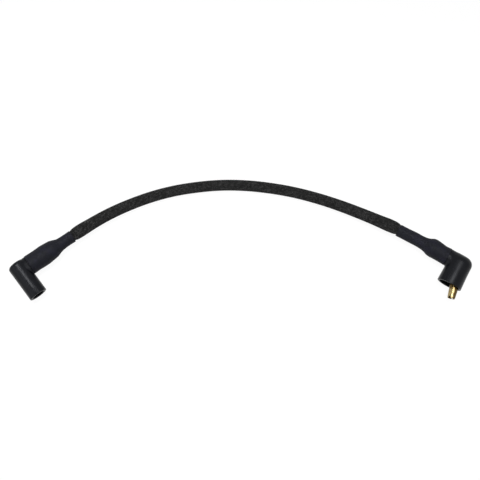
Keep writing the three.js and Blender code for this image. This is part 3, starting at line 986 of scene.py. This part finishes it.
def shrink_tube(side, end, axes, lines, yarns, seed, material):
    """A shrink tube from its outlines on the side away from the leg and on the leg's side."""
    (along_near, near), (along_far, far) = [np.array(line).T * MM for line in lines]
    start, stop = along_near[0], along_near[-1]
    rings, around = 128, 144
    at = np.linspace(start, stop, rings)
    angle = np.arange(around) * 2 * math.pi / around
    grid_at, grid_angle = np.meshgrid(at, angle, indexing="ij")
    share = 0.5 + 0.5 * np.cos(grid_angle - math.pi)
    radius = share * np.interp(grid_at, along_near, near)
    radius += (1 - share) * np.interp(grid_at, along_far, far)
    radius = np.apply_along_axis(smoothed, 0, radius)
    radius += ripple(np.random.default_rng(seed), 8, RIPPLE)(grid_at, grid_angle)
    on_neck = np.clip((grid_at - (end.stem_length + NECK_SETBACK)) / NECK_BLEND, 0, 1)
    weave = np.cos(yarns * grid_angle) * np.cos((grid_at - start) * math.pi / WEAVE_PITCH)
    radius += WEAVE_HEIGHT * weave * on_neck
    lip = np.minimum(at - start, stop - at)[:, None]
    radius -= FILM_WALL * LIP_THINNING * np.clip(1 - lip / LIP, 0, 1) ** 2
    inner = radius - FILM_WALL

    def ring(values, grid):
        columns = [grid, values * np.cos(grid_angle), values * np.sin(grid_angle)]
        return np.stack(columns, -1).reshape(-1, 3)

    points = np.vstack([ring(radius, grid_at), ring(inner[::-1], grid_at[::-1])])
    faces = tube_faces(2 * rings, around, closed=True)
    name, node = f"{side}_shrink_tube", f"{side}_heat_shrink"
    make_piece(name, placed(points, axes), faces, material, node)


class Part:
    """What the operators share: the settings, the lead and each end's frame."""

    def __init__(self, context):
        settings = context.scene.coil_wire
        self.settings = settings
        self.ends = (settings.left, settings.right)
        self.lead = Lead(ROUTE)
        self.axes = (end_axes(ROUTE[0], ROUTE[1], -1), end_axes(ROUTE[-1], ROUTE[-2], 1))


class COILWIRE_OT_lay_braid(bpy.types.Operator):
    """Lay the braided sleeve along the lead, one piece for each way its yarns run"""

    bl_idname = "coilwire.lay_braid"
    bl_label = "Lay Braid"

    def execute(self, context):
        part = Part(context)
        braid = part.settings.braid
        start = part.ends[0].stem_length + MARGIN
        end = part.lead.length - part.ends[1].stem_length - MARGIN
        material = yarn_finish(part.settings.colours)
        for hand, name in ((1, "braid_yarns_right_hand"), (-1, "braid_yarns_left_hand")):
            points, faces, uv = braid_yarns(part.lead, braid, part.ends, start, end, hand)
            piece = make_piece(name, points, faces, material, "braided_sleeve", uv)
        path = part.lead.at(np.linspace(start, end, 120))
        return {"FINISHED"}


class COILWIRE_OT_finish_inner_lead(bpy.types.Operator):
    """Give the lead's jacket and conductor their finishes"""

    bl_idname = "coilwire.finish_inner_lead"
    bl_label = "Finish Inner Lead"

    def execute(self, context):
        colours = context.scene.coil_wire.colours
        finishes = {
            "wire_insulation": jacket_finish(colours),
            "conductor_core": metal_finish("tinned_copper", colours.copper, 0.35),
        }
        for node, material in finishes.items():
            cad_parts[node].data.materials[0] = material
        return {"FINISHED"}


class COILWIRE_OT_mould_boots(bpy.types.Operator):
    """Mould the two rubber elbow boots"""

    bl_idname = "coilwire.mould_boots"
    bl_label = "Mould Boots"

    def execute(self, context):
        part = Part(context)
        material = rubber_finish(part.settings.colours)
        shapes = (
            (LEFT_CREST_FALL, LEFT_COLLAR_LINES, LEFT_SHRINK_LINES, LEFT_FILLET),
            (RIGHT_CREST_FALL, RIGHT_COLLAR_LINES, RIGHT_SHRINK_LINES, RIGHT_FILLET),
        )
        for end, axes, shape, side in zip(part.ends, part.axes, shapes, ("left", "right")):
            radius = max(end.mouth_diameter, end.stem_diameter + MARGIN) / 2 + MARGIN
            back = abs(math.cos(end.elbow_angle)) * end.leg_length
            low = (-radius - back, -end.cap_height - radius * 0.3 - MARGIN, -radius)
            high = (end.stem_length + MARGIN, end.leg_length + 2.5 * MARGIN, radius)
            name, node = f"{side}_elbow_boot", f"{side}_boot"
            field = boot_field(end, axes[0][2, 2], *shape)
            carved_piece(name, field, axes, low, high, BOOT_CELL, material, node)
        return {"FINISHED"}


class COILWIRE_OT_shrink_tubes(bpy.types.Operator):
    """Shrink a tube over each boot's stem and the braid"""

    bl_idname = "coilwire.shrink_tubes"
    bl_label = "Shrink Tubes"

    def execute(self, context):
        part = Part(context)
        material = film_finish(part.settings.colours)
        yarns = part.settings.braid.yarns
        tubes = (("left", LEFT_SHRINK_LINES), ("right", RIGHT_SHRINK_LINES))
        for (side, lines), end, axes, seed in zip(tubes, part.ends, part.axes, RIPPLE_SEEDS):
            shrink_tube(side, end, axes, lines, yarns, seed, material)
        return {"FINISHED"}


class COILWIRE_OT_stamp_terminals(bpy.types.Operator):
    """Stamp and roll the two brass terminals, and wind the left one's spring"""

    bl_idname = "coilwire.stamp_terminals"
    bl_label = "Stamp Terminals"

    def execute(self, context):
        part = Part(context)
        sizes = part.settings.terminals
        brass = brass_finish(part.settings.colours)
        socket = socket_field(sizes, part.ends[0].elbow_angle)
        half = 5.5 * MM
        terminals = (
            ("left", "socket", socket, half, sizes.socket_end),
            ("right", "plug", plug_field(sizes), 13.5 * MM, sizes.plug_length),
        )
        for (side, kind, field, back, reach), axes in zip(terminals, part.axes):
            name, node = f"{side}_{kind}_terminal", f"{side}_terminal"
            low = (-back, -6 * MM, -half)
            high = (CRIMP_TO + MARGIN, reach + MARGIN, half)
            carved_piece(name, field, axes, low, high, BRASS_CELL, brass, node)
        self.wind_spring(part, sizes)
        return {"FINISHED"}

    def wind_spring(self, part, sizes):
        wire = sizes.spring_wire / 2
        ring = sizes.socket_diameter / 2 - 0.2 * MM + wire
        around, steps = 16, 96
        angle = np.linspace(math.radians(25), math.radians(335), steps)
        section = np.arange(around) * 2 * math.pi / around
        grid_angle, grid_section = np.meshgrid(angle, section, indexing="ij")
        out = ring + wire * np.cos(grid_section)
        along = sizes.groove_at + wire * np.sin(grid_section)
        points = np.stack([out * np.cos(grid_angle), along, out * np.sin(grid_angle)], -1)
        make_piece(
            "socket_spring_wire",
            placed(points.reshape(-1, 3), part.axes[0]),
            tube_faces(steps, around, closed=False),
            metal_finish("spring_steel", part.settings.colours.steel, 0.25),
            "left_terminal_spring",
        )


class COILWIRE_OT_set_stage(bpy.types.Operator):
    """Set the camera, the lamps, the floor and the world"""

    bl_idname = "coilwire.set_stage"
    bl_label = "Set Stage"

    def execute(self, context):
        scene = context.scene
        stage = scene.coil_wire.stage
        scene.view_settings.view_transform = "Standard"
        camera = bpy.data.cameras.new("camera")
        camera.lens = stage.lens
        away = stage.frame_width * stage.lens / camera.sensor_width
        back = Vector((0, -math.cos(stage.elevation), math.sin(stage.elevation)))
        view = bpy.data.objects.new("camera", camera)
        scene.collection.objects.link(view)
        view.location = Vector(TARGET) + back * away
        view.rotation_euler = (-back).to_track_quat("-Z", "Y").to_euler()
        scene.camera = view
        for lamp in LAMPS:
            self.hang_lamp(scene, *lamp)
        self.light_world(scene)
        self.lay_floor(scene)
        return {"FINISHED"}

    def hang_lamp(self, scene, name, target, away, size, power, spread):
        lamp = bpy.data.lights.new(name, "AREA")
        lamp.shape = "DISK"
        lamp.size = size
        lamp.energy = power
        lamp.spread = spread
        hung = bpy.data.objects.new(name, lamp)
        scene.collection.objects.link(hung)
        hung.location = Vector(target) + Vector(away)
        hung.rotation_euler = Vector(away).to_track_quat("Z", "Y").to_euler()

    def light_world(self, scene):
        scene.world = bpy.data.worlds.new("studio")
        finish = Finish(scene.world)
        seen = finish.sees_background()
        strength = seen + (1 - seen) * WORLD_LIGHT
        white = finish.add("ShaderNodeBackground", {"Color": WHITE, "Strength": strength})
        finish.add("ShaderNodeOutputWorld", {"Surface": white})

    def lay_floor(self, scene):
        mesh = bpy.data.meshes.new("floor")
        corners = ((-1, -1), (1, -1), (1, 1), (-1, 1))
        mesh.from_pydata([(x * FLOOR_HALF, y * FLOOR_HALF, 0) for x, y in corners], [], [range(4)])
        floor = bpy.data.objects.new("floor", mesh)
        scene.collection.objects.link(floor)
        finish = new_finish("floor")
        mesh.materials.append(finish.owner)
        seen = finish.sees_background()
        paint = finish.add("ShaderNodeBsdfDiffuse", {"Color": FLOOR_PAINT})
        strength = seen * FLOOR_GLOW
        glow = finish.add("ShaderNodeEmission", {"Color": WHITE, "Strength": strength})
        lit = finish.add("ShaderNodeMixShader", {0: seen * GLOW_SHARE, 1: paint, 2: glow})
        finish.add("ShaderNodeOutputMaterial", {"Surface": lit})


class COILWIRE_PT_panel(bpy.types.Panel):
    """Sizes, colours and the operators that build the coil wire"""

    bl_idname = "COILWIRE_PT_panel"
    bl_label = "Coil Wire"
    bl_space_type = "VIEW_3D"
    bl_region_type = "UI"
    bl_category = "Coil Wire"

    def draw(self, context):
        settings = context.scene.coil_wire
        for name in ("left", "right", "braid", "terminals", "colours", "stage"):
            box = self.layout.box()
            box.label(text=name.capitalize())
            sizes = getattr(settings, name)
            for key in type(sizes).__annotations__:
                box.prop(sizes, key)
        for operator in OPERATORS:
            self.layout.operator(operator.bl_idname)


GROUPS = (
    LeftEndSizes, RightEndSizes, BraidSizes, TerminalSizes, Colours, StageSettings,
    CoilWireSettings,
)
OPERATORS = (
    COILWIRE_OT_set_stage,
    COILWIRE_OT_lay_braid,
    COILWIRE_OT_finish_inner_lead,
    COILWIRE_OT_mould_boots,
    COILWIRE_OT_shrink_tubes,
    COILWIRE_OT_stamp_terminals,
)
CLASSES = (*GROUPS, *OPERATORS, COILWIRE_PT_panel)


def register():
    for cls in CLASSES:
        bpy.utils.register_class(cls)
    bpy.types.Scene.coil_wire = group(CoilWireSettings)


def unregister():
    del bpy.types.Scene.coil_wire
    for cls in reversed(CLASSES):
        bpy.utils.unregister_class(cls)


def main():
    register()
    bpy.ops.coilwire.set_stage()
    bpy.ops.coilwire.lay_braid()
    bpy.ops.coilwire.finish_inner_lead()
    bpy.ops.coilwire.mould_boots()
    bpy.ops.coilwire.shrink_tubes()
    bpy.ops.coilwire.stamp_terminals()


if __name__ == "__main__":
    main()
